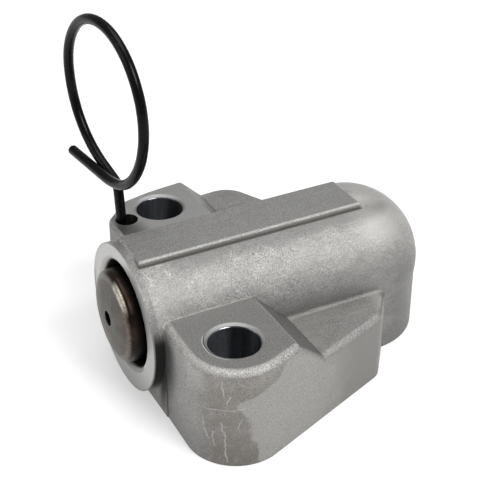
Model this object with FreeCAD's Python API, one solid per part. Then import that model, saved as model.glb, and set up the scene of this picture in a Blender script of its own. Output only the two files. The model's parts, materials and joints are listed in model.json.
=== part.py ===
import FreeCAD, Part
import math
import os

V = FreeCAD.Vector

# ---------------------------------------------------------------------------
# Balance shaft chain tensioner. Lengths in millimetres, angles in degrees.
# The pieces are drawn in barrel coordinates: X runs along the plunger axis
# from the machined front ring into the body, Z is up, the axis is y = z = 0.
# At the end everything moves to the row frame, whose origin is the centre of
# the near bolt hole on the mounting face.
# ---------------------------------------------------------------------------

# barrel and rear dome
BARREL_R = 10.75
RING_LENGTH = 1.15          # turned strip behind the front ring
DOME_X = 36.2               # centre of the round rear end
WALL_R = 10.6               # half width of the body below the axis
BASE_Z = -10.8              # mounting face
BLOCK_FRONT_X = 1.6

# pad: flat raised strip along the crown
PAD_Y0, PAD_Y1 = -3.9, 3.5
PAD_X0, PAD_X1 = 1.15, 36.0
PAD_Z = 10.85

# bolt ears
EAR_Z = 4.56                # height of both bolt seats above the axis
BOLT_R = 3.5                # clearance hole of an M6 screw
BOLT_CHAMFER = 0.45
NEAR_BOLT = (8.5, -17.5)
FAR_BOLT = (14.0, 18.4)
NEAR_EAR_R = 7.15
NEAR_RAMP_X = 15.4          # where the seat ends and the 45 degree ramp starts
NEAR_SIDE_ANGLE = 20.6      # angle of the near side wall to the axis
NEAR_FLANGE_Z = -0.2
FAR_RAMP_X = 20.2
FAR_FLANGE_Z = 1.1
FAR_FLANGE_C = (27.1, 20.2)
FAR_FLANGE_R = 4.35
FAR_FRONT_X = 5.35
EDGE_R = 1.1                # cast edge rounding of the ears

# pull pin boss and hole
PIN_HOLE = (8.05, 17.22)
PIN_HOLE_R = 1.72
PIN_BOSS_R = 2.75

# plunger bore; its axis lies a little above the barrel's own
BORE_Z = 0.52
MOUTH_R, MOUTH_DEPTH, MOUTH_LIP_R = 7.75, 3.6, 0.8
BORE_R, BORE_END_X = 6.75, 38.0
FEED_CHAMBER_R, FEED_CHAMBER_X = 3.0, 41.3
FEED_HOLE_R, FEED_HOLE_X = 1.5, 39.7

# plunger
PLUNGER_R = 6.70            # 0.05 running clearance in the bore
PLUNGER_X0, PLUNGER_X1 = -2.3, 31.0
PLUNGER_NOSE_R = 1.0        # rounding between the crowned front and the side
PLUNGER_CROWN_R, PLUNGER_LAND_R = 23.4, 2.5
PLUNGER_BORE_R, PLUNGER_BORE_X = 4.6, 4.0
PLUNGER_VENT_R = 1.12
RACK_ROOT_Y, RACK_PITCH = 6.05, 1.6
RACK_X0, RACK_TEETH = 9.2, 12

# pieces inside the plunger
DISC_R, DISC_T = 4.5, 1.2
FILLER_R, FILLER_FLANGE_T, FILLER_STEM_R, FILLER_STEM_L = 4.5, 1.2, 2.75, 13.5
SPRING_MEAN_R, SPRING_WIRE_R, SPRING_TURNS = 3.75, 0.45, 10.5

# check valve
SEAT_R, SEAT_X0, SEAT_HOLE_R = 6.72, 35.0, 1.5
BALL_R = 2.0
BALL_X = 33.60
CAGE_R, CAGE_WALL, CAGE_FLANGE_R, CAGE_FLANGE_T = 2.95, 0.45, 5.6, 0.5
CAGE_X0 = 30.0
BALL_SPRING_MEAN_R, BALL_SPRING_WIRE_R = 0.95, 0.14

# ratchet pawl, its dowel and its spring
PAWL_PIVOT = (8.4, 11.2)
PAWL_HALF_T = 1.5
PAWL_EYE_R = 1.85
DOWEL_R = 1.0
PAWL_HOLE_R = 1.04          # 0.04 running clearance on the dowel
PAWL_LIFT_ANGLE = 6.6       # from the meshed angle to the lifted rest angle
POCKET_CEILING_Z = 1.9
PAWL_SPRING_R, PAWL_SPRING_WIRE_R = 1.45, 0.22

# pull pin wire
WIRE_R = 0.77
PIN_FOOT = (7.55, 17.40, -2.4)
PIN_HEAD = (7.10, 17.50, 9.75)
PAWL_TAIL_X = 8.45          # side of the pawl's tail that faces the pin

# row origin in barrel coordinates
ORIGIN = V(NEAR_BOLT[0], NEAR_BOLT[1], BASE_Z)


# ---------------------------------------------------------------------------
# helpers
# ---------------------------------------------------------------------------
def cyl_x(r, x0, x1, y=0.0, z=0.0):
    return Part.makeCylinder(r, x1 - x0, V(x0, y, z), V(1, 0, 0))


def cyl_z(r, x, y, z0, z1):
    return Part.makeCylinder(r, z1 - z0, V(x, y, z0), V(0, 0, 1))


def box(x0, y0, z0, x1, y1, z1):
    return Part.makeBox(x1 - x0, y1 - y0, z1 - z0, V(x0, y0, z0))


def rounded_outline(points):
    """Closed wire at z = 0 through (x, y, corner radius) points."""
    n = len(points)
    starts, ends, mids = [], [], []
    for i in range(n):
        p = V(points[i][0], points[i][1], 0)
        a = V(points[i - 1][0], points[i - 1][1], 0)
        b = V(points[(i + 1) % n][0], points[(i + 1) % n][1], 0)
        r = points[i][2]
        if r <= 0:
            starts.append(p)
            ends.append(p)
            mids.append(None)
            continue
        u = (a - p).normalize()
        w = (b - p).normalize()
        half = math.acos(max(-1.0, min(1.0, u.dot(w)))) / 2
        t = r / math.tan(half)
        bis = (u + w).normalize()
        c = p + bis * (r / math.sin(half))
        starts.append(p + u * t)
        ends.append(p + w * t)
        mids.append(c - bis * r)
    edges = []
    for i in range(n):
        if mids[i] is not None:
            edges.append(Part.Arc(starts[i], mids[i], ends[i]).toShape())
        nxt = (i + 1) % n
        if (starts[nxt] - ends[i]).Length > 1e-6:
            edges.append(Part.LineSegment(ends[i], starts[nxt]).toShape())
    return Part.Wire(edges)


def prism(points, z0, z1):
    face = Part.Face(rounded_outline(points))
    face.translate(V(0, 0, z0))
    return face.extrude(V(0, 0, z1 - z0))


def fillet_some(shape, radii, pick):
    """Round the picked edges with the first radius that gives a valid solid."""
    edges = [e for e in shape.Edges if pick(e)]
    if not edges:
        return shape
    for r in radii:
        try:
            out = shape.makeFillet(r, edges)
            if out.isValid() and out.Volume > 0 and len(out.Solids) == 1:
                return out
        except Exception:
            pass
    print("fillet left out", len(edges))
    return shape


def bar(a, b, r):
    d = b - a
    return Part.makeCylinder(r, d.Length, a, d)


def path_tube(points, r):
    """Round bar along straight runs with ball corners."""
    body = None
    for i in range(len(points) - 1):
        seg = bar(points[i], points[i + 1], r)
        body = seg if body is None else body.fuse(seg)
        if i > 0:
            body = body.fuse(Part.makeSphere(r, points[i]))
    return body


def helix_tube(mean_r, wire_r, pitch, height):
    """Helix about Z from z = 0, as one solid."""
    helix = Part.makeHelix(pitch, height, mean_r)
    path = Part.Wire(helix.Edges)
    start = V(mean_r, 0, 0)
    tangent = V(0, 2 * math.pi * mean_r, pitch)
    ring = Part.Wire(Part.makeCircle(wire_r, start, tangent))
    return path.makePipeShell([ring], True, True)


# ---------------------------------------------------------------------------
# housing
# ---------------------------------------------------------------------------
def near_outline():
    a = math.radians(NEAR_SIDE_ANGLE)
    cx, cy = NEAR_BOLT
    tx = cx + NEAR_EAR_R * math.sin(a)
    ty = cy - NEAR_EAR_R * math.cos(a)
    slope = math.tan(a)
    # the ear's round end is the rounding of the corner between front and side
    front_x = cx - NEAR_EAR_R
    corner_y = ty - slope * (tx - front_x)
    cornerx2 = 32.48
    cornery2 = ty + slope * (cornerx2 - tx)
    return [
        (1.85, -4.0, 0),
        (front_x + 0.02, corner_y, NEAR_EAR_R),
        (cornerx2, cornery2, 3.0),
        (36.9, -10.35, 0),
        (36.9, -4.0, 0),
    ]


def near_ear():
    low = prism(near_outline(), BASE_Z, NEAR_FLANGE_Z)
    high = prism(near_outline(), NEAR_FLANGE_Z - 1.0, EAR_Z)
    drop = EAR_Z - NEAR_FLANGE_Z
    # everything beyond the ramp is cut away above the flange
    tool = Part.Face(Part.makePolygon([
        V(NEAR_RAMP_X, -60, EAR_Z), V(NEAR_RAMP_X + drop * 1.05, -60, NEAR_FLANGE_Z),
        V(80, -60, NEAR_FLANGE_Z), V(80, -60, EAR_Z + 10), V(NEAR_RAMP_X, -60, EAR_Z + 10),
        V(NEAR_RAMP_X, -60, EAR_Z)])).extrude(V(0, 60, 0))
    ear = low.fuse(high.cut(tool)).removeSplitter()
    return ear


def far_outline():
    cx, cy = FAR_FLANGE_C
    r = FAR_FLANGE_R
    return [
        (FAR_FRONT_X, 4.0, 0),
        (FAR_FRONT_X, 18.34, PIN_BOSS_R),
        (9.75, 22.75, 2.0),
        (14.4, 23.85, 14.0),
        (FAR_RAMP_X, 24.5, 0),
        (29.2, cy + r + 0.45, r),
        (33.4, 16.2, 6.0),
        (36.9, 10.35, 0),
        (36.9, 4.0, 0),
    ]


def far_ear():
    low = prism(far_outline(), BASE_Z, FAR_FLANGE_Z)
    high = prism(far_outline(), FAR_FLANGE_Z - 1.0, EAR_Z)
    drop = EAR_Z - FAR_FLANGE_Z
    tool = Part.Face(Part.makePolygon([
        V(FAR_RAMP_X, 60, EAR_Z), V(FAR_RAMP_X + drop * 1.05, 60, FAR_FLANGE_Z),
        V(80, 60, FAR_FLANGE_Z), V(80, 60, EAR_Z + 10), V(FAR_RAMP_X, 60, EAR_Z + 10),
        V(FAR_RAMP_X, 60, EAR_Z)])).extrude(V(0, -60, 0))
    return low.fuse(high.cut(tool)).removeSplitter()


def edge_on_top_of_wall(e, y_limit, side, zmin):
    """Picks the outer top edges of an ear: away from the barrel, not vertical."""
    b = e.BoundBox
    yc = (b.YMin + b.YMax) / 2
    if side * yc < y_limit:
        return False
    if b.ZMax - b.ZMin > 0.9 * (EAR_Z - zmin) + 6:
        return False
    if b.ZMin < zmin - 0.01:
        return False
    if b.ZLength > 0.01 and b.XLength < 0.01 and b.YLength < 0.01:
        return False
    return True


def make_housing():
    near = near_ear()
    far = far_ear()

    # outer top edges of the near ear, its ramp and its flange
    def outer_near(e):
        b = e.BoundBox
        if not edge_on_top_of_wall(e, 10.9, -1, NEAR_FLANGE_Z):
            return False
        # edges across the part, along Y only, are the top and foot of the ramp
        return not (b.XLength < 0.05 and b.YLength > 3 and b.XMin > 12)
    near = fillet_some(near, (EDGE_R, 0.9, 0.7, 0.5), outer_near)

    def outer_far(e):
        b = e.BoundBox
        if not edge_on_top_of_wall(e, 10.0, 1, FAR_FLANGE_Z):
            return False
        return not (b.XLength < 0.05 and b.YLength > 5 and b.XMin > 15)
    far = fillet_some(far, (0.6, 0.5, 0.4, 0.3, 0.2), outer_far)

    barrel = cyl_x(BARREL_R, 0.0, DOME_X)
    dome = Part.makeSphere(BARREL_R, V(DOME_X, 0, 0)).common(box(DOME_X - 0.01, -20, -20, 60, 20, 20))
    wall = box(BLOCK_FRONT_X, -WALL_R, BASE_Z, DOME_X, WALL_R, 0)
    rear = Part.makeCylinder(WALL_R, -BASE_Z, V(DOME_X, 0, BASE_Z))
    pad = box(PAD_X0, PAD_Y0, 6.0, PAD_X1, PAD_Y1, PAD_Z)
    pad = fillet_some(pad, (0.35, 0.25), lambda e: e.BoundBox.ZMin > PAD_Z - 0.01 and e.BoundBox.YMin < PAD_Y1 - 0.01)
    pad = fillet_some(pad, (0.1,), lambda e: e.BoundBox.ZMin > PAD_Z - 0.2 and e.BoundBox.YMin > PAD_Y1 - 0.01)
    pad = pad.cut(cyl_x(9.0, -1, 60))

    body = barrel.fuse([dome, wall, rear, near, far, pad])
    body = body.cut(box(-5, -40, BASE_Z - 10, 80, 40, BASE_Z))
    body = body.removeSplitter()

    # soft cast corners where the ears meet the barrel, and the ramp tops
    def barrel_line(e, side, z, tol):
        b = e.BoundBox
        yc = (b.YMin + b.YMax) / 2
        return (b.XLength > 3 and b.YLength < 0.3 and b.ZLength < 0.3
                and abs((b.ZMin + b.ZMax) / 2 - z) < tol and side * yc > 8 and abs(yc) < 11.2)

    def ramp_line(e, side, x, z):
        b = e.BoundBox
        yc = (b.YMin + b.YMax) / 2
        return (side * yc > 8 and b.YLength > 2 and b.XLength < 0.05 and b.ZLength < 0.05
                and abs(b.XMin - x) < 0.05 and abs(b.ZMin - z) < 0.05)

    body = fillet_some(body, (0.6, 0.4, 0.25),
                       lambda e: barrel_line(e, -1, EAR_Z, 0.02) or barrel_line(e, 1, EAR_Z, 0.02))
    body = fillet_some(body, (0.6, 0.4, 0.25), lambda e: barrel_line(e, -1, NEAR_FLANGE_Z, 0.3))
    body = fillet_some(body, (0.6, 0.4, 0.25), lambda e: barrel_line(e, 1, FAR_FLANGE_Z, 0.1))
    body = fillet_some(body, (0.5, 0.3), lambda e: ramp_line(e, -1, NEAR_RAMP_X, EAR_Z))
    body = fillet_some(body, (0.5, 0.3), lambda e: ramp_line(e, 1, FAR_RAMP_X, EAR_Z))

    # plunger bore, mouth, oil chamber and feed hole
    cuts = [
        cyl_x(BORE_R, -1, BORE_END_X, 0, BORE_Z),
        cyl_x(MOUTH_R, -1, MOUTH_DEPTH, 0, BORE_Z),
        cyl_x(FEED_CHAMBER_R, BORE_END_X - 0.5, FEED_CHAMBER_X, 0, BORE_Z),
        cyl_z(FEED_HOLE_R, FEED_HOLE_X, 0, BASE_Z - 1, 0),
    ]
    # bolt holes with chamfered mouths
    for bx, by in (NEAR_BOLT, FAR_BOLT):
        cuts.append(cyl_z(BOLT_R, bx, by, BASE_Z - 1, EAR_Z + 1))
        cuts.append(Part.makeCone(BOLT_R, BOLT_R + BOLT_CHAMFER + 0.3, BOLT_CHAMFER + 0.3,
                                  V(bx, by, EAR_Z - BOLT_CHAMFER), V(0, 0, 1)))
    # pull pin hole
    cuts.append(cyl_z(PIN_HOLE_R, PIN_HOLE[0], PIN_HOLE[1], -1, EAR_Z + 1))
    # pawl pocket, open to the mounting face, and the window into the bore
    pocket = prism([(6.2, 6.4, 0.4), (16.4, 6.4, 0.4), (16.4, 9.6, 0.8), (11.2, 13.3, 1.0),
                    (10.05, 13.3, 0.2), (10.05, 18.6, 0.9), (6.3, 18.6, 0.9), (6.2, 12.0, 0)],
                   BASE_Z - 1, POCKET_CEILING_Z)
    cuts.append(pocket)
    cuts.append(box(11.0, 4.5, -2.0, 16.4, 7.2, POCKET_CEILING_Z))
    cuts.append(cyl_z(DOWEL_R, PAWL_PIVOT[0], PAWL_PIVOT[1], 0, 4.0))
    body = body.cut(cuts[0])
    for c in cuts[1:]:
        body = body.cut(c)
    # rounded lip of the mouth
    return fillet_some(body, (MOUTH_LIP_R, 0.6, 0.4), lambda e: (
        abs(e.BoundBox.XMin) < 0.01 and abs(e.BoundBox.XMax) < 0.01 and abs(e.BoundBox.YLength - 2 * MOUTH_R) < 0.05))


# ---------------------------------------------------------------------------
# plunger and the pieces it carries
# ---------------------------------------------------------------------------
def make_plunger():
    body = cyl_x(PLUNGER_R, PLUNGER_X0, PLUNGER_X1)
    # slightly crowned front with a flat land around the oil hole
    sag = PLUNGER_CROWN_R - math.sqrt(PLUNGER_CROWN_R ** 2 - PLUNGER_LAND_R ** 2)
    crown = Part.makeSphere(PLUNGER_CROWN_R, V(PLUNGER_X0 - sag + PLUNGER_CROWN_R, 0, 0))
    body = body.cut(cyl_x(PLUNGER_R + 1, PLUNGER_X0 - 1, PLUNGER_X0 + 3).cut(crown))
    body = fillet_some(body, (PLUNGER_NOSE_R, 0.8), lambda e: (
        e.BoundBox.XMax < PLUNGER_X0 + 2 and e.BoundBox.YLength > 2 * PLUNGER_R - 0.1))
    body = fillet_some(body, (0.3,), lambda e: e.BoundBox.XMin > PLUNGER_X1 - 0.01)
    body = body.cut(cyl_x(PLUNGER_BORE_R, PLUNGER_BORE_X, PLUNGER_X1 + 1))
    body = body.cut(cyl_x(PLUNGER_VENT_R, PLUNGER_X0 - 1, PLUNGER_BORE_X + 1))
    # rack: saw teeth, steep side towards the rear
    for i in range(RACK_TEETH):
        g = RACK_X0 + i * RACK_PITCH
        tooth = Part.Face(Part.makePolygon([
            V(g, 9, 0), V(g, RACK_ROOT_Y, 0), V(g + 0.35, RACK_ROOT_Y, 0),
            V(g + 1.35, 6.75, 0), V(g + 1.35, 9, 0), V(g, 9, 0)]))
        tooth.translate(V(0, 0, -4))
        body = body.cut(tooth.extrude(V(0, 0, 8)))
    return body


def make_vent_disc():
    x0 = PLUNGER_BORE_X
    body = cyl_x(DISC_R, x0, x0 + DISC_T)
    # shallow bleed groove from the rim to the centre on the front side
    body = body.cut(box(x0, 0.0, -0.3, x0 + 0.4, DISC_R + 1, 0.3))
    return body.cut(cyl_x(0.3, x0 - 1, x0 + 0.5))


def make_volume_filler():
    x0 = PLUNGER_BORE_X + DISC_T
    body = cyl_x(FILLER_R, x0, x0 + FILLER_FLANGE_T)
    stem = cyl_x(FILLER_STEM_R, x0 + 0.5, x0 + FILLER_FLANGE_T + FILLER_STEM_L)
    stem = fillet_some(stem, (0.8,), lambda e: e.BoundBox.XMin > x0 + FILLER_FLANGE_T + FILLER_STEM_L - 0.01)
    body = body.fuse(stem).removeSplitter()
    # two oil grooves down the flange and stem
    for s in (-1, 1):
        body = body.cut(box(x0 - 1, s * 4.2 - 0.5, -0.5, x0 + 3, s * 4.2 + 0.5, 0.5))
    return body


def make_plunger_spring():
    x0 = PLUNGER_BORE_X + DISC_T + FILLER_FLANGE_T + SPRING_WIRE_R
    x1 = SEAT_X0 - CAGE_FLANGE_T - SPRING_WIRE_R
    length = x1 - x0
    body = helix_tube(SPRING_MEAN_R, SPRING_WIRE_R, length / SPRING_TURNS, length)
    body.rotate(V(0, 0, 0), V(0, 1, 0), 90)
    body.translate(V(x0, 0, 0))
    # the end turns lie on their seats
    return body


# ---------------------------------------------------------------------------
# check valve
# ---------------------------------------------------------------------------
def make_valve_seat():
    body = cyl_x(SEAT_R, SEAT_X0, BORE_END_X)
    body = body.cut(cyl_x(SEAT_HOLE_R, SEAT_X0 - 1, BORE_END_X + 1))
    body = body.cut(Part.makeCone(SEAT_HOLE_R + 0.25, SEAT_HOLE_R, 0.25, V(SEAT_X0, 0, 0), V(1, 0, 0)))
    return body


def make_check_ball():
    return Part.makeSphere(BALL_R, V(BALL_X, 0, 0))


def make_ball_cage():
    body = cyl_x(CAGE_R, CAGE_X0, SEAT_X0)
    body = body.fuse(cyl_x(CAGE_FLANGE_R, SEAT_X0 - CAGE_FLANGE_T, SEAT_X0))
    body = body.cut(cyl_x(CAGE_R - CAGE_WALL, CAGE_X0 + CAGE_WALL, SEAT_X0 + 1))
    for k in range(3):
        slot = box(CAGE_X0 + 1.0, -0.8, 0, SEAT_X0 - CAGE_FLANGE_T - 0.6, 0.8, CAGE_R + 1)
        slot.rotate(V(0, 0, 0), V(1, 0, 0), 120 * k)
        body = body.cut(slot)
    return body


def make_ball_spring():
    x0 = CAGE_X0 + CAGE_WALL + BALL_SPRING_WIRE_R + 0.02
    x1 = BALL_X - math.sqrt((BALL_R + BALL_SPRING_WIRE_R) ** 2 - BALL_SPRING_MEAN_R ** 2) - 0.05
    body = helix_tube(BALL_SPRING_MEAN_R, BALL_SPRING_WIRE_R, (x1 - x0) / 2.5, x1 - x0)
    body.rotate(V(0, 0, 0), V(0, 1, 0), 90)
    body.translate(V(x0, 0, 0))
    return body


# ---------------------------------------------------------------------------
# ratchet pawl, drawn meshed with the rack and then lifted to its rest angle
# ---------------------------------------------------------------------------
def make_pawl():
    px, py = PAWL_PIVOT
    tip_x = RACK_X0 + 3 * RACK_PITCH + 0.10      # meshes with the fourth groove
    z0 = -PAWL_HALF_T
    z1 = PAWL_HALF_T
    eye = cyl_z(PAWL_EYE_R, px, py, z0, z1)
    arm = prism([(px + 0.2, py + 1.84, 0), (px - 0.3, py - 1.83, 0), (tip_x - 1.6, 7.35, 0.3),
                 (tip_x, 7.2, 0), (tip_x, 6.13, 0), (tip_x + 0.25, 6.13, 0), (tip_x + 1.15, 6.95, 0),
                 (tip_x + 1.25, 8.3, 0.6)], z0, z1)
    # tail blade beside the pull pin, drawn for the lifted angle below
    body = eye.fuse(arm)
    body.rotate(V(px, py, 0), V(0, 0, 1), PAWL_LIFT_ANGLE)
    tail = prism([(PAWL_TAIL_X, py, 0), (9.25, py, 0), (9.25, 17.9, 0.3),
                  (PAWL_TAIL_X, 17.9, 0.3)], z0, z1)
    body = body.fuse(tail).removeSplitter()
    return body.cut(cyl_z(PAWL_HOLE_R, px, py, z0 - 1, z1 + 1))


def make_pawl_pivot():
    body = cyl_z(DOWEL_R, PAWL_PIVOT[0], PAWL_PIVOT[1], BASE_Z + 1.0, 4.0)
    return fillet_some(body, (0.25,), lambda e: e.BoundBox.ZMax < BASE_Z + 1.01)


def make_pawl_spring():
    px, py = PAWL_PIVOT
    z_top = -PAWL_HALF_T - 0.45
    turns, pitch = 3.0, 0.62
    coil = helix_tube(PAWL_SPRING_R, PAWL_SPRING_WIRE_R, pitch, turns * pitch)
    coil.translate(V(px, py, z_top - turns * pitch))
    r = PAWL_SPRING_R
    w = PAWL_SPRING_WIRE_R
    # upper leg runs to the pawl's outer edge, lower leg to the pocket wall
    top = V(px + r, py, z_top)
    low = V(px + r, py, z_top - turns * pitch)
    leg_a = path_tube([top, V(px + r + 0.5, py + 0.6, z_top), V(px + 2.1, py + 1.35, z_top)], w)
    leg_b = path_tube([low, V(px + r + 0.2, py - 1.2, low.z), V(px + 1.4, py - 3.6, low.z)], w)
    return coil.fuse([leg_a, leg_b, Part.makeSphere(w, top), Part.makeSphere(w, low)])


# ---------------------------------------------------------------------------
# pull pin: straight leg, open ring, straight tail crossing in front of the leg
# ---------------------------------------------------------------------------
PIN_POINTS = [
    PIN_FOOT, PIN_HEAD, (7.1, 18.05, 10.8), (7.0, 20.4, 11.35),
    (6.6, 23.24, 12.4), (6.2, 26.5, 14.3), (5.8, 29.14, 17.49), (5.5, 30.5, 21.53), (5.3, 30.45, 25.67),
    (5.2, 29.3, 28.9), (5.3, 27.58, 31.62), (5.5, 25.19, 33.9), (5.8, 21.99, 35.5), (6.1, 18.53, 36.1),
    (6.4, 15.27, 35.75), (6.6, 12.48, 34.69), (6.8, 10.13, 33.0), (6.95, 8.35, 30.74), (7.1, 7.2, 28.15),
    (7.1, 6.55, 25.4), (7.0, 6.5, 22.45), (6.8, 7.4, 19.0), (6.5, 9.5, 15.65), (6.15, 12.55, 13.1),
    (5.7, 16.4, 11.95), (4.40, 29.2, 11.85),
]


def bent_path(points, share=0.49):
    """Straight runs through the points, joined by tangent arcs."""
    pts = [V(*p) for p in points]
    edges, at = [], pts[0]
    for i in range(1, len(pts) - 1):
        p = pts[i]
        u = pts[i - 1] - p
        w = pts[i + 1] - p
        t = share * min(u.Length, w.Length)
        u.normalize()
        w.normalize()
        half = math.acos(max(-1.0, min(1.0, u.dot(w)))) / 2
        r = t * math.tan(half)
        bis = (u + w).normalize()
        c = p + bis * (r / math.sin(half))
        edges.append(Part.LineSegment(at, p + u * t).toShape())
        edges.append(Part.Arc(p + u * t, c - bis * r, p + w * t).toShape())
        at = p + w * t
    edges.append(Part.LineSegment(at, pts[-1]).toShape())
    return Part.Wire(edges)


def make_lock_pin():
    path = bent_path(PIN_POINTS)
    ring = Part.Wire(Part.makeCircle(WIRE_R, V(*PIN_POINTS[0]), V(0, 0, 1)))
    body = path.makePipeShell([ring], True, False)
    print("wire: length %.1f, volume ratio %.4f" % (
        path.Length, body.Volume / (math.pi * WIRE_R ** 2 * path.Length)))
    return fillet_some(body, (0.3, 0.2), lambda e: type(e.Curve).__name__ == "Circle" and (
        (e.CenterOfMass - V(*PIN_POINTS[0])).Length < 0.05 or (e.CenterOfMass - V(*PIN_POINTS[-1])).Length < 0.05))


PIECES = [
    ("housing", make_housing),
    ("plunger", make_plunger),
    ("vent_disc", make_vent_disc),
    ("volume_filler", make_volume_filler),
    ("plunger_spring", make_plunger_spring),
    ("valve_seat", make_valve_seat),
    ("check_ball", make_check_ball),
    ("ball_cage", make_ball_cage),
    ("ball_spring", make_ball_spring),
    ("ratchet_pawl", make_pawl),
    ("pawl_pivot", make_pawl_pivot),
    ("pawl_spring", make_pawl_spring),
    ("lock_pin", make_lock_pin),
]

# pieces drawn about y = z = 0 that belong on the bore's axis
ON_BORE = ("plunger", "vent_disc", "volume_filler", "plunger_spring",
           "valve_seat", "check_ball", "ball_cage", "ball_spring")


def main():
    os.makedirs("parts", exist_ok=True)
    for name, make in PIECES:
        shape = make()
        if name in ON_BORE:
            shape.translate(V(0, 0, BORE_Z))
        shape.translate(ORIGIN * -1)
        solids = shape.Solids
        print(name, "valid", shape.isValid(), "solids", len(solids), "volume %.1f" % shape.Volume)
        if len(solids) == 1:
            shape = solids[0]
        shape.exportStep("parts/%s.step" % name)


main()
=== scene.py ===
import json
import math

import bpy
from mathutils import Matrix, Vector

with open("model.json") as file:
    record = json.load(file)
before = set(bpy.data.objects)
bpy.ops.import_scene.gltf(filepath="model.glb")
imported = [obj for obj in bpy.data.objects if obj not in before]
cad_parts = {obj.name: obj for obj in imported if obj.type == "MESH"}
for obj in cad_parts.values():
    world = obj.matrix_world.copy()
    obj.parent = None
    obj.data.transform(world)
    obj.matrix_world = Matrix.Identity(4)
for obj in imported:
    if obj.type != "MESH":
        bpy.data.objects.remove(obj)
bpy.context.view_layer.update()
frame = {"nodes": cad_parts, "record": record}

MM = 0.001
# barrel coordinates (x along the barrel, axis at y = z = 0) to the row frame
OX, OY, OZ = 8.5, -17.5, -10.8
BORE_Z = 0.52


def P(x, y, z):
    return Vector(((x - OX) * MM, (y - OY) * MM, (z - OZ) * MM))


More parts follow.
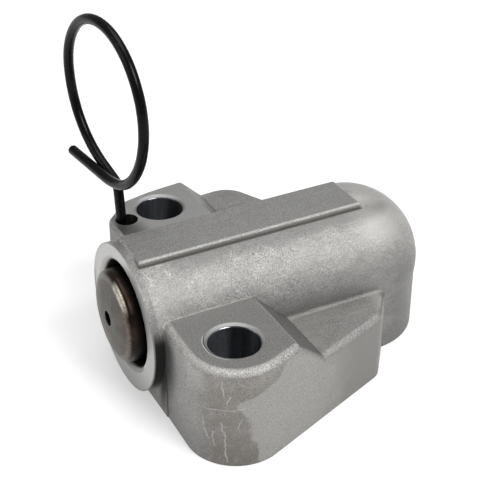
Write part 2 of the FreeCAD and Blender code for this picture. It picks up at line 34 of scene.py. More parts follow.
# ---------------------------------------------------------------------------
# small node-graph helper: coordinates are the object's own, in millimetres
# ---------------------------------------------------------------------------
class Graph:
    def __init__(self, name):
        self.mat = bpy.data.materials.new(name)
        self.mat.use_nodes = True
        self.t = self.mat.node_tree
        self.t.nodes.clear()
        self.out = self.t.nodes.new("ShaderNodeOutputMaterial")
        self.bsdf = self.t.nodes.new("ShaderNodeBsdfPrincipled")
        self.t.links.new(self.bsdf.outputs[0], self.out.inputs[0])
        tc = self.t.nodes.new("ShaderNodeTexCoord")
        sh = self.t.nodes.new("ShaderNodeMapping")
        sh.inputs["Location"].default_value = (OX, OY, OZ)
        sh.inputs["Scale"].default_value = (1000, 1000, 1000)
        self.t.links.new(tc.outputs["Object"], sh.inputs[0])
        self.pos = sh.outputs[0]
        sep = self.t.nodes.new("ShaderNodeSeparateXYZ")
        self.t.links.new(self.pos, sep.inputs[0])
        self.x, self.y, self.z = sep.outputs
        geo = self.t.nodes.new("ShaderNodeNewGeometry")
        self.normal = geo.outputs["True Normal"]
        self.shade_normal = geo.outputs["Normal"]
        ns = self.t.nodes.new("ShaderNodeSeparateXYZ")
        self.t.links.new(geo.outputs["Normal"], ns.inputs[0])
        self.nx, self.ny, self.nz = ns.outputs

    def put(self, socket, value):
        if isinstance(value, (int, float)):
            socket.default_value = value
        elif isinstance(value, tuple):
            socket.default_value = value if len(value) == len(socket.default_value) else tuple(value) + (1.0,)
        else:
            self.t.links.new(value, socket)

    def m(self, op, a, b=None, c=None, clamp=False):
        n = self.t.nodes.new("ShaderNodeMath")
        n.operation = op
        n.use_clamp = clamp
        self.put(n.inputs[0], a)
        if b is not None:
            self.put(n.inputs[1], b)
        if c is not None:
            self.put(n.inputs[2], c)
        return n.outputs[0]

    def step(self, v, lo, hi, a=0.0, b=1.0, smooth=True):
        n = self.t.nodes.new("ShaderNodeMapRange")
        n.interpolation_type = "SMOOTHSTEP" if smooth else "LINEAR"
        self.put(n.inputs[0], v)
        self.put(n.inputs[1], lo)
        self.put(n.inputs[2], hi)
        self.put(n.inputs[3], a)
        self.put(n.inputs[4], b)
        return n.outputs[0]

    def band(self, v, lo, hi, soft=0.05):
        return self.m("MULTIPLY", self.step(v, lo - soft, lo + soft), self.step(v, hi - soft, hi + soft, 1.0, 0.0))

    def mul(self, *vs):
        out = vs[0]
        for v in vs[1:]:
            out = self.m("MULTIPLY", out, v)
        return out

    def top(self, *vs):
        out = vs[0]
        for v in vs[1:]:
            out = self.m("MAXIMUM", out, v)
        return out

    def mix(self, f, a, b):
        n = self.t.nodes.new("ShaderNodeMix")
        n.data_type = "RGBA"
        n.clamp_factor = True
        self.put(n.inputs[0], f)
        self.put(n.inputs[6], a)
        self.put(n.inputs[7], b)
        return n.outputs[2]

    def mixf(self, f, a, b):
        n = self.t.nodes.new("ShaderNodeMix")
        n.data_type = "FLOAT"
        n.clamp_factor = True
        self.put(n.inputs[0], f)
        self.put(n.inputs[2], a)
        self.put(n.inputs[3], b)
        return n.outputs[0]

    def scaled(self, sx, sy, sz, rot=(0, 0, 0)):
        n = self.t.nodes.new("ShaderNodeMapping")
        n.inputs["Scale"].default_value = (sx, sy, sz)
        n.inputs["Rotation"].default_value = rot
        self.t.links.new(self.pos, n.inputs[0])
        return n.outputs[0]

    def noise(self, scale, detail=3.0, rough=0.55, vec=None, dist=0.0):
        n = self.t.nodes.new("ShaderNodeTexNoise")
        self.put(n.inputs["Vector"], vec if vec is not None else self.pos)
        n.inputs["Scale"].default_value = scale
        n.inputs["Detail"].default_value = detail
        n.inputs["Roughness"].default_value = rough
        n.inputs["Distortion"].default_value = dist
        return n.outputs[0]

    def cells(self, scale, vec=None, rand=1.0, feature="F1"):
        n = self.t.nodes.new("ShaderNodeTexVoronoi")
        n.feature = feature
        self.put(n.inputs["Vector"], vec if vec is not None else self.pos)
        n.inputs["Scale"].default_value = scale
        n.inputs["Randomness"].default_value = rand
        return n.outputs[0]

    def dist2(self, a, b, ca, cb):
        da = self.m("SUBTRACT", a, ca)
        db = self.m("SUBTRACT", b, cb)
        return self.m("SQRT", self.m("ADD", self.mul(da, da), self.mul(db, db)))

    def segment(self, a, b, c, half, soft):
        """1 on a line from b to c (2-D points) in the plane of the two sockets of a."""
        u, v = a
        ux, uy = c[0] - b[0], c[1] - b[1]
        ll = ux * ux + uy * uy
        du, dv = self.m("SUBTRACT", u, b[0]), self.m("SUBTRACT", v, b[1])
        t = self.m("DIVIDE", self.m("ADD", self.m("MULTIPLY", du, ux), self.m("MULTIPLY", dv, uy)), ll, clamp=True)
        eu = self.m("SUBTRACT", du, self.m("MULTIPLY", t, ux))
        ev = self.m("SUBTRACT", dv, self.m("MULTIPLY", t, uy))
        d = self.m("SQRT", self.m("ADD", self.mul(eu, eu), self.mul(ev, ev)))
        return self.step(d, half, half + soft, 1.0, 0.0)

    def bump(self, height, dist_mm, strength=1.0, normal=None):
        n = self.t.nodes.new("ShaderNodeBump")
        n.inputs["Strength"].default_value = strength
        n.inputs["Distance"].default_value = dist_mm * MM
        self.put(n.inputs["Height"], height)
        if normal is not None:
            self.put(n.inputs["Normal"], normal)
        return n.outputs[0]

    def bevel(self, r_mm, samples=6):
        n = self.t.nodes.new("ShaderNodeBevel")
        n.samples = samples
        n.inputs["Radius"].default_value = r_mm * MM
        return n.outputs[0]

    def edges(self, r_mm, lo, hi):
        """1 where the surface turns within r_mm, from the rounded normal against the face's own."""
        n = self.t.nodes.new("ShaderNodeVectorMath")
        n.operation = "DOT_PRODUCT"
        self.t.links.new(self.bevel(r_mm, 8), n.inputs[0])
        self.t.links.new(self.shade_normal, n.inputs[1])
        return self.step(self.m("SUBTRACT", 1.0, n.outputs["Value"]), lo, hi)

    def open_air(self, dist_mm, samples=6):
        n = self.t.nodes.new("ShaderNodeAmbientOcclusion")
        n.samples = samples
        n.inputs["Distance"].default_value = dist_mm * MM
        return n.outputs["AO"]

    def set(self, **kw):
        names = {"color": "Base Color", "rough": "Roughness", "metal": "Metallic", "normal": "Normal",
                 "ior": "IOR", "coat": "Coat Weight", "coat_rough": "Coat Roughness",
                 "aniso": "Anisotropic", "spec": "Specular IOR Level"}
        for k, v in kw.items():
            self.put(self.bsdf.inputs[names[k]], v)
        return self.mat


# ---------------------------------------------------------------------------
# cast aluminium body: one finish for each zone of the casting
# ---------------------------------------------------------------------------
def cast_aluminium():
    g = Graph("cast_aluminium")
    x, y, z, nx, ny, nz = g.x, g.y, g.z, g.nx, g.ny, g.nz
    r_axis = g.m("SQRT", g.m("ADD", g.mul(y, y), g.mul(z, z)))
    up = g.step(nz, 0.985, 0.999)
    flat_pad = g.mul(up, g.step(z, 10.7, 10.8))
    seat = g.mul(up, g.band(z, 4.4, 4.7, 0.03))
    seat_or_pad = g.top(flat_pad, seat)
    front = g.mul(g.step(nx, -0.97, -0.999), g.step(x, 0.12, 0.04))
    ring = g.mul(g.step(x, 1.12, 1.06), g.step(r_axis, 10.5, 10.6))
    near_d = g.dist2(x, y, 8.5, -17.5)
    far_d = g.dist2(x, y, 14.0, 18.4)
    pin_d = g.dist2(x, y, 8.05, 17.22)
    zb = g.m("SUBTRACT", z, BORE_Z)
    r_bore = g.m("SQRT", g.m("ADD", g.mul(y, y), g.mul(zb, zb)))
    hole = g.top(g.mul(g.step(near_d, 3.62, 3.56), g.step(z, 4.5, 4.4)), g.mul(g.step(far_d, 3.62, 3.56), g.step(z, 4.5, 4.4)))
    pin_hole = g.mul(g.step(pin_d, 1.79, 1.73), g.step(z, 4.55, 4.4))
    chamfer = g.top(g.band(near_d, 3.5, 4.1, 0.03), g.band(far_d, 3.5, 4.1, 0.03))
    chamfer = g.mul(chamfer, g.step(nz, 0.95, 0.85), g.step(nz, 0.3, 0.5), g.band(z, 3.9, 4.58, 0.02))
    bore = g.mul(g.step(r_bore, 8.62, 8.50), g.step(x, 38.5, 38.2), g.step(x, 0.0, 0.02))
    under = g.mul(g.step(nz, -0.97, -0.995), g.step(z, -10.7, -10.78))

    # blasted skin: fine bright and dark grains over a broad cloud
    grain = g.noise(4.6, 3.0, 0.8)
    fine = g.noise(9.0, 2.0, 0.8)
    cloud = g.noise(0.16, 3.0, 0.55)
    cloud2 = g.noise(0.6, 4.0, 0.6)
    pits = g.mul(g.step(g.cells(0.55), 0.12, 0.06), g.step(g.noise(0.5, 2.0, 0.5), 0.5, 0.6))
    skin_amount = g.m("SUBTRACT", 1.0, g.top(seat_or_pad, front, ring, hole, bore))
    speck = g.step(g.mixf(g.step(x, 14.0, 3.0, 0.45, 0.8), grain, fine), 0.41, 0.59)
    # the blast is coarser towards the front of the barrel, softer at the rear and on the walls
    coarse = g.mul(g.step(x, 34.0, 12.0, 0.42, 1.0), g.step(z, 2.0, 5.0, 0.95, 1.0))
    coarse = g.top(coarse, g.mul(g.step(z, 1.0, 0.0), 0.85))
    speck = g.mixf(coarse, g.mixf(0.6, speck, 0.55), speck)
    base = g.mix(speck, (0.165, 0.162, 0.156, 1), (0.53, 0.522, 0.506, 1))
    # faint drawn streaks along the rear half
    streak = g.noise(1.0, 3.0, 0.65, g.scaled(0.25, 1.6, 1.6), 0.4)
    base = g.mix(g.mul(g.step(x, 14.0, 26.0), g.step(streak, 0.5, 0.7), 0.45), base, (0.56, 0.55, 0.53, 1))
    # pale squiggles where the skin was rubbed
    vein = g.noise(0.55, 5.0, 0.62, None, 1.2)
    vein = g.mul(g.step(g.m("ABSOLUTE", g.m("SUBTRACT", vein, 0.5)), 0.016, 0.004), g.step(g.noise(0.22, 2.0, 0.5), 0.46, 0.56))
    base = g.mix(g.mul(vein, g.step(z, 3.0, 5.0), 0.8), base, (0.72, 0.71, 0.69, 1))
    base = g.mix(g.step(cloud, 0.35, 0.65), base, g.mix(0.35, base, (0.42, 0.41, 0.39, 1)))
    base = g.mix(g.m("MULTIPLY", g.step(cloud2, 0.45, 0.7), 0.35), base, (0.20, 0.197, 0.19, 1))
    # painted shade: below the barrel the walls are darkened towards the bottom
    base = g.mix(g.step(z, 4.0, -2.0, 0.0, 0.36), base, (0.165, 0.161, 0.154, 1))
    # painted highlight: a lighter band along the barrel's upper flank
    base = g.mix(g.mul(g.step(z, 4.0, 7.0), g.step(z, 9.6, 7.8), 0.20), base, (0.62, 0.61, 0.585, 1))
    # painted highlight on the upward-facing top of the rear dome, painted shade where the dome turns down at the back
    dome = g.step(x, 31.0, 37.0)
    base = g.mix(g.mul(dome, g.step(nz, 0.45, 0.75), 0.66), base, (0.60, 0.59, 0.57, 1))
    base = g.mix(g.mul(g.step(x, 36.5, 40.0), g.step(nz, 0.40, 0.05), 0.54), base, (0.17, 0.167, 0.16, 1))
    # painted shade on the barrel just below the pad's near edge, at the front
    base = g.mix(g.mul(g.step(y, -2.0, -4.2), g.step(z, 8.5, 9.6), g.step(x, 3.0, 9.0), 0.62), base, (0.22, 0.218, 0.21, 1))
    col = base

    # seats and pad: smoother, mid grey, faint long scratches
    sc1 = g.noise(1.0, 4.0, 0.7, g.scaled(0.35, 5.5, 1.0, (0, 0, 0.35)))
    sc2 = g.noise(1.0, 3.0, 0.7, g.scaled(4.5, 0.4, 1.0, (0, 0, -0.5)))
    lines = g.m("MULTIPLY", g.step(g.m("ADD", g.m("MULTIPLY", sc1, 0.6), g.m("MULTIPLY", sc2, 0.4)), 0.5, 0.66), 0.5)
    smooth_col = g.mix(g.step(g.mixf(0.5, grain, fine), 0.38, 0.62), (0.13, 0.129, 0.125, 1), (0.45, 0.445, 0.43, 1))
    smooth_col = g.mix(lines, smooth_col, (0.44, 0.435, 0.42, 1))
    smooth_col = g.mix(g.mul(g.step(y, 4.0, 10.0), 0.55), smooth_col, (0.46, 0.457, 0.447, 1))
    smooth_col = g.mix(g.mul(g.step(y, -8.0, -9.5), 0.36), smooth_col, (0.13, 0.128, 0.123, 1))
    smooth_col = g.mix(g.mul(flat_pad, g.step(x, 4.0, 34.0, 0.14, 0.26)), smooth_col, (0.50, 0.495, 0.48, 1))
    # painted shadow on the far seat where it meets the barrel
    smooth_col = g.mix(g.mul(seat, g.step(x, 11.0, 7.8), g.step(y, 17.2, 15.2), g.step(y, 4.0, 8.0), 0.85), smooth_col, (0.10, 0.099, 0.096, 1))
    col = g.mix(seat_or_pad, col, smooth_col)

    # the rounded edge of the near ear: blasted bright and dark speckle, lightened overall as a painted highlight along
    # the rounding
    rim = g.mul(g.step(nz, 0.35, 0.6), g.step(nz, 0.985, 0.93), g.step(y, -9.8, -11.5), g.step(nx, 0.5, 0.35), g.step(z, -0.4, 1.0, 0.45, 1.0))
    col = g.mix(g.m("MULTIPLY", rim, 0.5), col, g.mix(g.step(g.mixf(0.5, grain, fine), 0.40, 0.60), (0.24, 0.237, 0.23, 1), (0.76, 0.75, 0.73, 1)))
    # painted shade: the sloped ramp faces of the ears get a darker speckle
    ramp = g.mul(g.band(nx, 0.55, 0.85, 0.04), g.band(nz, 0.55, 0.85, 0.04), g.step(z, 4.9, 4.6), g.step(g.m("ABSOLUTE", y), 8.0, 9.5))
    col = g.mix(g.m("MULTIPLY", ramp, 0.6), col, g.mix(speck, (0.10, 0.099, 0.095, 1), (0.22, 0.218, 0.21, 1)))
    # the pad's raised near edge: a painted highlight on its rounding, painted shade on its step wall and a painted
    # shadow line at its foot
    pad_edge_highlight = g.mul(g.band(y, -3.95, -3.55, 0.08), g.step(z, 10.2, 10.4), g.band(x, 1.3, 35.9, 0.1))
    pad_foot_shadow = g.mul(g.band(y, -4.12, -3.88, 0.06), g.step(z, 9.7, 9.85), g.step(z, 10.22, 10.12), g.band(x, 1.0, 36.2, 0.1))
    col = g.mix(g.m("MULTIPLY", pad_edge_highlight, 0.7), col, g.mix(speck, (0.34, 0.335, 0.32, 1), (0.66, 0.65, 0.63, 1)))
    pad_wall_shade = g.mul(g.band(y, -4.1, -3.8, 0.05), g.step(z, 9.9, 10.0), g.step(z, 10.62, 10.5), g.band(x, 1.0, 36.2, 0.1))
    col = g.mix(g.m("MULTIPLY", pad_wall_shade, 0.6), col, g.mix(speck, (0.15, 0.148, 0.142, 1), (0.36, 0.355, 0.34, 1)))
    col = g.mix(g.m("MULTIPLY", pad_foot_shadow, 0.8), col, (0.085, 0.08, 0.072, 1))
    cuts = [((0.8, 0.2), (3.3, 0.4)), ((3.5, 0.6), (5.1, 0.3)), ((5.1, 0.6), (8.8, 0.2)),
            ((0.7, 2.1), (5.3, 1.7)), ((0.8, -1.5), (3.5, -1.4)), ((13.6, 1.3), (17.7, 1.1)),
            ((29.1, 1.6), (34.4, 1.5)), ((7.3, 2.8), (10.5, 2.7))]
    marks = None
    for b0, c0 in cuts:
        one = g.segment((x, y), b0, c0, 0.02, 0.06)
        marks = one if marks is None else g.top(marks, one)
    marks = g.mul(marks, flat_pad, g.step(grain, 0.35, 0.55))
    col = g.mix(g.m("MULTIPLY", marks, 0.5), col, (0.60, 0.59, 0.57, 1))

    # machined front ring, holes, bore
    turn = g.noise(1.0, 2.0, 0.6, None)
    rings = g.m("SINE", g.m("MULTIPLY", r_axis, 42.0))
    col = g.mix(front, col, g.mix(g.m("ADD", g.m("MULTIPLY", g.m("ADD", rings, 1.0), 0.10), g.step(fine, 0.42, 0.62, -0.1, 0.5)), (0.41, 0.408, 0.395, 1), (0.48, 0.478, 0.465, 1)))
    col = g.mix(ring, col, g.mix(0.35, base, (0.15, 0.15, 0.147, 1)))
    col = g.mix(chamfer, col, g.mix(fine, (0.30, 0.30, 0.295, 1), (0.56, 0.555, 0.545, 1)))
    side = g.m("ADD", g.m("MULTIPLY", g.m("SUBTRACT", x, 8.5), -0.93), g.m("MULTIPLY", g.m("ADD", y, 17.5), -0.10))
    wob = g.m("MULTIPLY", g.m("SUBTRACT", g.noise(0.9, 3.0, 0.6), 0.5), 0.25)
    bd = g.m("ADD", near_d, wob)
    near_left = g.mul(g.step(side, 2.2, 3.2), g.step(z, 4.2, 4.4))
    col = g.mix(g.mul(g.band(bd, 3.98, 4.13, 0.03), near_left), col, (0.05, 0.05, 0.05, 1))
    col = g.mix(g.mul(g.band(bd, 4.15, 4.28, 0.03), near_left, 0.8), col, (0.66, 0.655, 0.64, 1))
    band_a = g.noise(1.0, 2.0, 0.5, g.scaled(0.45, 0.45, 0.05))
    band_b = g.noise(1.0, 2.0, 0.5, g.scaled(2.2, 2.2, 0.12))
    wall_col = g.mix(g.step(band_a, 0.36, 0.64), (0.08, 0.086, 0.096, 1), (0.34, 0.36, 0.39, 1))
    wall_col = g.mix(g.m("MULTIPLY", g.step(band_b, 0.42, 0.68), 0.35), wall_col, (0.16, 0.17, 0.185, 1))
    col = g.mix(hole, col, wall_col)
    # painted shade inside the pin hole
    col = g.mix(pin_hole, col, (0.03, 0.03, 0.03, 1))
    lip = g.mix(g.step(x, 0.0, 0.7), (0.41, 0.405, 0.39, 1), (0.44, 0.41, 0.365, 1))
    # painted light: the lip's right side is lightened where it faces away from the lamps
    lip = g.mix(g.mul(g.step(y, 1.0, -3.0), g.step(x, 0.9, 0.5)), lip, (0.85, 0.85, 0.83, 1))
    # painted shadow of the plunger on the lip's lower part
    lip = g.mix(g.mul(g.step(zb, -3.8, -5.6), 0.85), lip, (0.13, 0.128, 0.12, 1))
    # painted shade deeper in the bore: the lip fades to near black, and the bore wall inside it is near black
    lip = g.mix(g.step(x, 1.1, 2.0), lip, (0.012, 0.010, 0.008, 1))
    col = g.mix(bore, col, g.mix(g.step(r_bore, 7.2, 7.5), (0.008, 0.007, 0.006, 1), lip))
    # painted shade in the corner behind the front ring
    ring_corner_shade = g.mul(g.step(x, 2.1, 1.5), g.step(x, 0.12, 0.25), g.step(r_axis, 15.0, 11.5), g.step(y, -7.5, -9.6), g.step(z, 4.4, 1.5))
    col = g.mix(g.m("MULTIPLY", ring_corner_shade, 0.93), col, (0.018, 0.018, 0.019, 1))
    col = g.mix(under, col, (0.40, 0.395, 0.385, 1))
    col = g.mix(g.mul(pits, skin_amount, 0.5), col, (0.11, 0.108, 0.10, 1))

    # painted shade on the front wall of the far ear, deeper towards the barrel
    far_front_shade = g.mul(g.step(nx, -0.5, -0.8), g.step(y, 9.5, 11.0), g.step(z, 4.4, 4.2))
    col = g.mix(g.mul(far_front_shade, g.step(y, 16.0, 11.5, 0.58, 0.85)), col, (0.11, 0.108, 0.104, 1))

    # painted shade: the walls darken towards the mounting face
    low_wall_shade = g.mul(g.step(z, -3.0, -10.0), g.step(nz, 0.5, 0.2))
    col = g.mix(g.m("MULTIPLY", low_wall_shade, 0.36), col, (0.10, 0.098, 0.094, 1))

    # convex edges lightened: worn edges and a painted highlight; concave creases darkened as painted shade
    edge = g.edges(0.35, 0.02, 0.20)
    ao = g.open_air(1.3)
    seam = g.mul(g.step(r_axis, 12.0, 11.6), g.step(g.m("ABSOLUTE", y), 8.2, 8.6), g.step(x, 1.4, 1.7), g.step(nz, 0.995, 0.98), g.step(z, 5.5, 5.2))
    edge_wear_and_highlight = g.mul(edge, g.step(ao, 0.88, 0.97), g.m("SUBTRACT", 1.0, seam), g.m("SUBTRACT", 1.0, g.m("MULTIPLY", ring, 0.8)))
    crease_shade = g.mul(edge, g.step(ao, 0.90, 0.70))
    col = g.mix(g.mul(edge_wear_and_highlight, g.step(grain, 0.35, 0.6, 0.5, 1.0), g.mixf(front, 0.75, 0.0)), col, (0.60, 0.595, 0.58, 1))
    col = g.mix(g.mul(crease_shade, 0.55), col, (0.09, 0.088, 0.085, 1))
    flank = g.mul(g.step(r_axis, 12.0, 11.6), g.step(g.m("ABSOLUTE", y), 6.4, 10.4), g.step(x, 1.4, 5.0), g.step(nz, 0.995, 0.9), g.step(z, 8.5, 2.5))
    col = g.mix(g.mul(flank, 0.38), col, (0.15, 0.148, 0.143, 1))

    # smoother, paler patch on the near side wall, with a ragged border
    wall = g.mul(g.step(ny, -0.30, -0.60), g.step(nz, 0.35, 0.2), g.step(y, -15.0, -16.0))
    # its border leans forward to the middle of the wall and back again below
    lean = g.m("MULTIPLY", g.m("ABSOLUTE", g.m("ADD", z, 1.0)), 0.30)
    climb = g.m("MULTIPLY", g.step(z, -0.5, 2.6), 5.5)
    border = g.m("SUBTRACT", x, g.m("ADD", g.m("ADD", lean, climb), 6.0))
    border = g.m("ADD", border, g.m("MULTIPLY", g.m("SUBTRACT", g.noise(0.45, 4.0, 0.62), 0.5), 3.2))
    patch = g.mul(g.step(ny, -0.62, -0.80), g.step(nz, 0.35, 0.2), g.step(y, -15.0, -16.0), g.step(border, -0.2, 0.25))
    # the patch darkens towards the rear
    patch_rear_darkening = g.m("MULTIPLY", g.step(g.m("ADD", x, g.m("MULTIPLY", g.noise(0.3, 1.0, 0.5), 8.0)), 22.0, 33.0), 0.75)
    col = g.mix(g.m("MULTIPLY", patch, 0.92), col, g.mix(speck, (0.262, 0.255, 0.241, 1), (0.385, 0.375, 0.358, 1)))
    col = g.mix(g.mul(patch, patch_rear_darkening), col, (0.20, 0.196, 0.188, 1))
    # brown tint and fine crossing scratches on the front half of that wall
    front_wall = g.mul(wall, g.m("SUBTRACT", 1.0, patch))
    col = g.mix(g.m("MULTIPLY", front_wall, 0.40), col, (0.15, 0.13, 0.108, 1))
    s1 = g.noise(1.0, 2.0, 0.5, g.scaled(6.0, 6.0, 0.5, (0.25, 0.2, 0)), 0.6)
    s2 = g.noise(1.0, 2.0, 0.5, g.scaled(0.6, 0.6, 7.0, (0.3, -0.4, 0)), 0.5)
    hair = g.top(g.step(g.m("ABSOLUTE", g.m("SUBTRACT", s1, 0.5)), 0.012, 0.003), g.step(g.m("ABSOLUTE", g.m("SUBTRACT", s2, 0.5)), 0.010, 0.002))
    hair = g.mul(hair, g.step(g.noise(0.5, 2.0, 0.5), 0.50, 0.60), front_wall)
    wob = g.m("MULTIPLY", g.m("SUBTRACT", g.noise(0.7, 3.0, 0.6), 0.5), 0.9)
    wx = g.m("ADD", x, wob)
    for b0, c0 in [((1.5, -1.9), (2.4, -1.9)), ((2.4, -1.9), (3.5, -1.6)), ((3.5, -1.6), (4.9, -1.5)),
                   ((4.9, -1.5), (6.5, -1.2)), ((4.0, 3.1), (4.2, 0.7)), ((3.9, -3.6), (4.3, -5.9)),
                   ((4.3, -5.9), (4.2, -8.3)), ((4.2, -8.3), (4.5, -10.1)), ((6.2, -2.9), (5.7, -4.5)),
                   ((1.6, 1.3), (1.7, -0.1)), ((2.3, -3.4), (2.4, -5.7)), ((2.4, -5.7), (2.8, -6.7)),
                   ((3.1, -5.4), (3.3, -7.7)), ((4.9, 0.8), (4.5, -0.4))]:
        hair = g.top(hair, g.mul(g.segment((wx, z), b0, c0, 0.02, 0.08), wall))
    col = g.mix(g.m("MULTIPLY", hair, 0.55), col, (0.55, 0.54, 0.52, 1))

    rough = g.mixf(speck, 0.50, 0.38)
    rough = g.mixf(seat_or_pad, rough, 0.42)
    rough = g.mixf(front, rough, 0.34)
    rough = g.mixf(hole, rough, 0.26)
    rough = g.mixf(bore, rough, 0.38)
    rough = g.mixf(patch, rough, 0.50)

    h = g.m("ADD", g.m("MULTIPLY", grain, 0.6), g.m("MULTIPLY", fine, 0.4))
    rough = g.mixf(ring_corner_shade, rough, 0.8)
    h = g.m("MULTIPLY", h, g.mixf(seat_or_pad, 1.0, 0.45))
    h = g.m("MULTIPLY", h, g.mixf(g.top(front, hole, bore), 1.0, 0.05))
    h = g.m("MULTIPLY", h, g.mixf(patch, 1.0, 0.35))
    n1 = g.bump(h, 0.16, 1.0, g.bevel(0.10))
    n2 = g.bump(g.noise(0.45, 2.0, 0.5), 0.12, 0.5, n1)
    return g.set(color=col, rough=rough, metal=0.88, normal=n2)


def brown_steel():
    g = Graph("plunger_steel")
    zb = g.m("SUBTRACT", g.z, BORE_Z)
    r = g.m("SQRT", g.m("ADD", g.mul(g.y, g.y), g.mul(zb, zb)))
    cloud = g.noise(0.33, 4.0, 0.62)
    fine = g.noise(4.0, 4.0, 0.7)
    wobble = g.m("MULTIPLY", g.m("SUBTRACT", cloud, 0.5), 0.9)
    rw = g.m("ADD", r, wobble)
    # matte brown-grey front, a painted highlight along the upper shoulder where it turns, painted shade on the side
    # behind it
    front = g.mix(g.step(cloud, 0.3, 0.7), (0.058, 0.051, 0.043, 1), (0.106, 0.096, 0.083, 1))
    front = g.mix(g.m("MULTIPLY", g.step(fine, 0.45, 0.7), 0.3), front, (0.16, 0.145, 0.126, 1))
    rust = g.mix(g.step(fine, 0.42, 0.58), (0.045, 0.030, 0.022, 1), (0.15, 0.12, 0.093, 1))
    shoulder_highlight = g.mix(g.step(fine, 0.35, 0.65), (0.20, 0.17, 0.14, 1), (0.68, 0.63, 0.55, 1))
    side_shade = g.mix(g.step(cloud, 0.35, 0.65), (0.014, 0.009, 0.007, 1), (0.040, 0.026, 0.019, 1))
    upper = g.mul(g.step(zb, 3.2, 4.4), g.step(g.y, -0.6, -1.8))
    turn_r = g.step(g.x, -1.62, -1.30)
    lower = g.mul(g.step(zb, 4.2, 3.2), g.step(g.y, -1.0, -3.0))
    col = g.mix(g.mul(g.step(rw, 4.7, 6.0), lower, 0.85), front, rust)
    col = g.mix(turn_r, col, side_shade)
    col = g.mix(g.mul(g.band(g.x, -1.78, -1.28, 0.10), upper, g.step(rw, 5.2, 5.9), 0.9), col, shoulder_highlight)
    # painted shade: the side goes near black deeper in the bore
    col = g.mix(g.step(g.x, -1.0, 0.0), col, (0.007, 0.005, 0.004, 1))
    col = g.mix(g.step(r, 1.9, 1.3, 0, 0.55), col, (0.10, 0.095, 0.10, 1))
    # painted shade inside the plunger's hole
    col = g.mix(g.mul(g.step(r, 1.20, 1.13), g.step(g.x, -2.2, -2.0)), col, (0.006, 0.005, 0.005, 1))
    rough = g.mixf(g.step(r, 5.3, 5.8), 0.46, g.mixf(fine, 0.24, 0.38))
    turn = g.noise(1.0, 2.0, 0.5, g.scaled(9.0, 0.25, 0.25))
    n = g.bump(g.m("ADD", g.m("MULTIPLY", fine, 0.6), g.m("MULTIPLY", turn, 0.4)), 0.04, 0.8)
    return g.set(color=col, rough=rough, metal=0.9, normal=n)


def black_wire():
    g = Graph("black_wire")
    spots = g.noise(2.2, 4.0, 0.7)
    col = g.mix(g.step(spots, 0.55, 0.75), (0.0015, 0.0015, 0.0016, 1), (0.005, 0.005, 0.006, 1))
    rough = g.mixf(g.step(spots, 0.4, 0.7), 0.24, 0.32)
    return g.set(color=col, rough=rough, metal=0.0, spec=0.13, normal=g.bump(g.noise(3.0, 2.0, 0.5), 0.008, 0.5))


def plain_metal(name, a, b, rough_a, rough_b, scale=1.2, metal=0.95, bump=0.008, stretch=(1, 1, 1)):
    g = Graph(name)
    n = g.noise(scale, 4.0, 0.6, g.scaled(*stretch))
    return g.set(color=g.mix(g.step(n, 0.35, 0.65), a, b), rough=g.mixf(n, rough_a, rough_b), metal=metal,
                 normal=g.bump(g.noise(scale * 6, 3.0, 0.6, g.scaled(*stretch)), bump, 0.7))


def bright_steel():
    g = Graph("bright_steel")
    n = g.noise(1.0, 4.0, 0.6, g.scaled(1, 6, 6))
    zb = g.m("SUBTRACT", g.z, BORE_Z)
    r = g.m("SQRT", g.m("ADD", g.mul(g.y, g.y), g.mul(zb, zb)))
    # painted shade on the disc where it shows through the plunger's hole
    vent_shade = g.mul(g.step(r, 1.6, 1.3), g.step(g.x, 7.0, 6.0))
    col = g.mix(g.step(n, 0.35, 0.65), (0.50, 0.50, 0.50, 1), (0.62, 0.62, 0.61, 1))
    return g.set(color=g.mix(vent_shade, col, (0.010, 0.009, 0.008, 1)), rough=g.mixf(n, 0.22, 0.36), metal=0.95,
                 normal=g.bump(g.noise(6.0, 3.0, 0.6, g.scaled(1, 6, 6)), 0.008, 0.7))


def filler_plastic():
    g = Graph("filler_plastic")
    n = g.noise(3.0, 3.0, 0.6)
    return g.set(color=g.mix(n, (0.018, 0.018, 0.02, 1), (0.04, 0.04, 0.043, 1)), rough=g.mixf(n, 0.45, 0.6),
                 metal=0.0, normal=g.bump(g.noise(12.0, 3.0, 0.6), 0.01, 0.7))


materials = {
    "cast_aluminium": cast_aluminium(),
    "plunger_steel": brown_steel(),
    "black_wire": black_wire(),
    "filler_plastic": filler_plastic(),
    "bright_steel": bright_steel(),
    "ball_steel": plain_metal("ball_steel", (0.62, 0.62, 0.63, 1), (0.70, 0.70, 0.71, 1), 0.08, 0.14, 0.7, bump=0.001),
    "cage_steel": plain_metal("cage_steel", (0.42, 0.38, 0.27, 1), (0.52, 0.48, 0.36, 1), 0.28, 0.42, 0.8),
    "spring_steel": plain_metal("spring_steel", (0.26, 0.26, 0.27, 1), (0.36, 0.36, 0.37, 1), 0.28, 0.40, 1.5),
    "pawl_steel": plain_metal("pawl_steel", (0.15, 0.15, 0.155, 1), (0.23, 0.23, 0.235, 1), 0.38, 0.55, 2.0, bump=0.02),
}

slots = {s["node"]: s["material_slot"] for s in frame["record"]["subparts"]}
for name, obj in frame["nodes"].items():
    mat = materials[slots[name]]
    obj.data.materials.clear()
    obj.data.materials.append(mat)

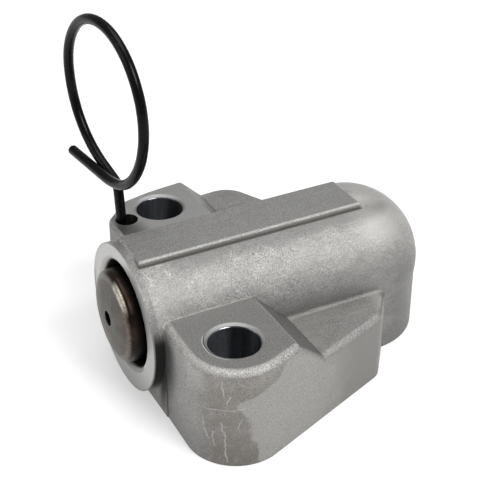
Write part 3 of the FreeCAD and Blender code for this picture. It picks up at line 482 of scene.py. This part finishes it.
# ---------------------------------------------------------------------------
# floor, light, camera
# ---------------------------------------------------------------------------
bpy.ops.mesh.primitive_plane_add(size=3.0, location=(0.0, 0.0, -0.00002))
floor = bpy.context.object
floor.name = "floor"
fm = bpy.data.materials.new("floor")
fm.use_nodes = True
fb = fm.node_tree.nodes["Principled BSDF"]
fb.inputs["Base Color"].default_value = (0.56, 0.56, 0.56, 1)
fb.inputs["Emission Color"].default_value = (1, 1, 1, 1)
fb.inputs["Emission Strength"].default_value = 0.46
fb.inputs["Roughness"].default_value = 0.8
floor.data.materials.append(fm)

world = bpy.data.worlds.new("studio")
world.use_nodes = True
world.node_tree.nodes["Background"].inputs[0].default_value = (1, 1, 1, 1)
world.node_tree.nodes["Background"].inputs[1].default_value = 0.32
bpy.context.scene.world = world

AZ, EL = 1.09147, 0.55378
d = Vector((math.cos(EL) * math.cos(AZ), math.cos(EL) * math.sin(AZ), -math.sin(EL)))
right = d.cross(Vector((0, 0, 1))).normalized()
upv = right.cross(d)
centre = Vector((0.0125, 0.0175, 0.011))


def softbox(name, r, u, f, size, power, target=None):
    """An area light placed right, up and forward of the object as the camera sees it, in metres."""
    flat = Vector((d.x, d.y, 0)).normalized()
    at = centre + right * r + Vector((0, 0, 1)) * u + flat * f
    light = bpy.data.lights.new(name, "AREA")
    light.shape = "RECTANGLE"
    light.size, light.size_y = size
    light.energy = power
    o = bpy.data.objects.new(name, light)
    o.location = at
    o.rotation_mode = "QUATERNION"
    o.rotation_quaternion = ((target or centre) - at).to_track_quat("-Z", "Y")
    bpy.context.scene.collection.objects.link(o)
    return o


softbox("key", 0.26, 0.40, -0.24, (0.22, 0.22), 2.0)
softbox("left", -0.55, 0.30, -0.16, (0.40, 0.35), 0.8)
softbox("top", 0.0, 0.60, 0.12, (0.45, 0.45), 2.0)

cam_data = bpy.data.cameras.new("camera")
cam_data.sensor_width = 36.0
cam_data.lens = 1205.06 / 480 * 36
cam_data.clip_start, cam_data.clip_end = 0.01, 10
cam = bpy.data.objects.new("camera", cam_data)
m = Matrix((right, upv, -d)).transposed().to_4x4()
m.translation = Vector((-0.057484, -0.112145, 0.108550))
cam.matrix_world = m
bpy.context.scene.collection.objects.link(cam)
bpy.context.scene.camera = cam

vs = bpy.context.scene.view_settings
vs.view_transform = "Standard"
vs.look = "None"
vs.exposure = 0.0
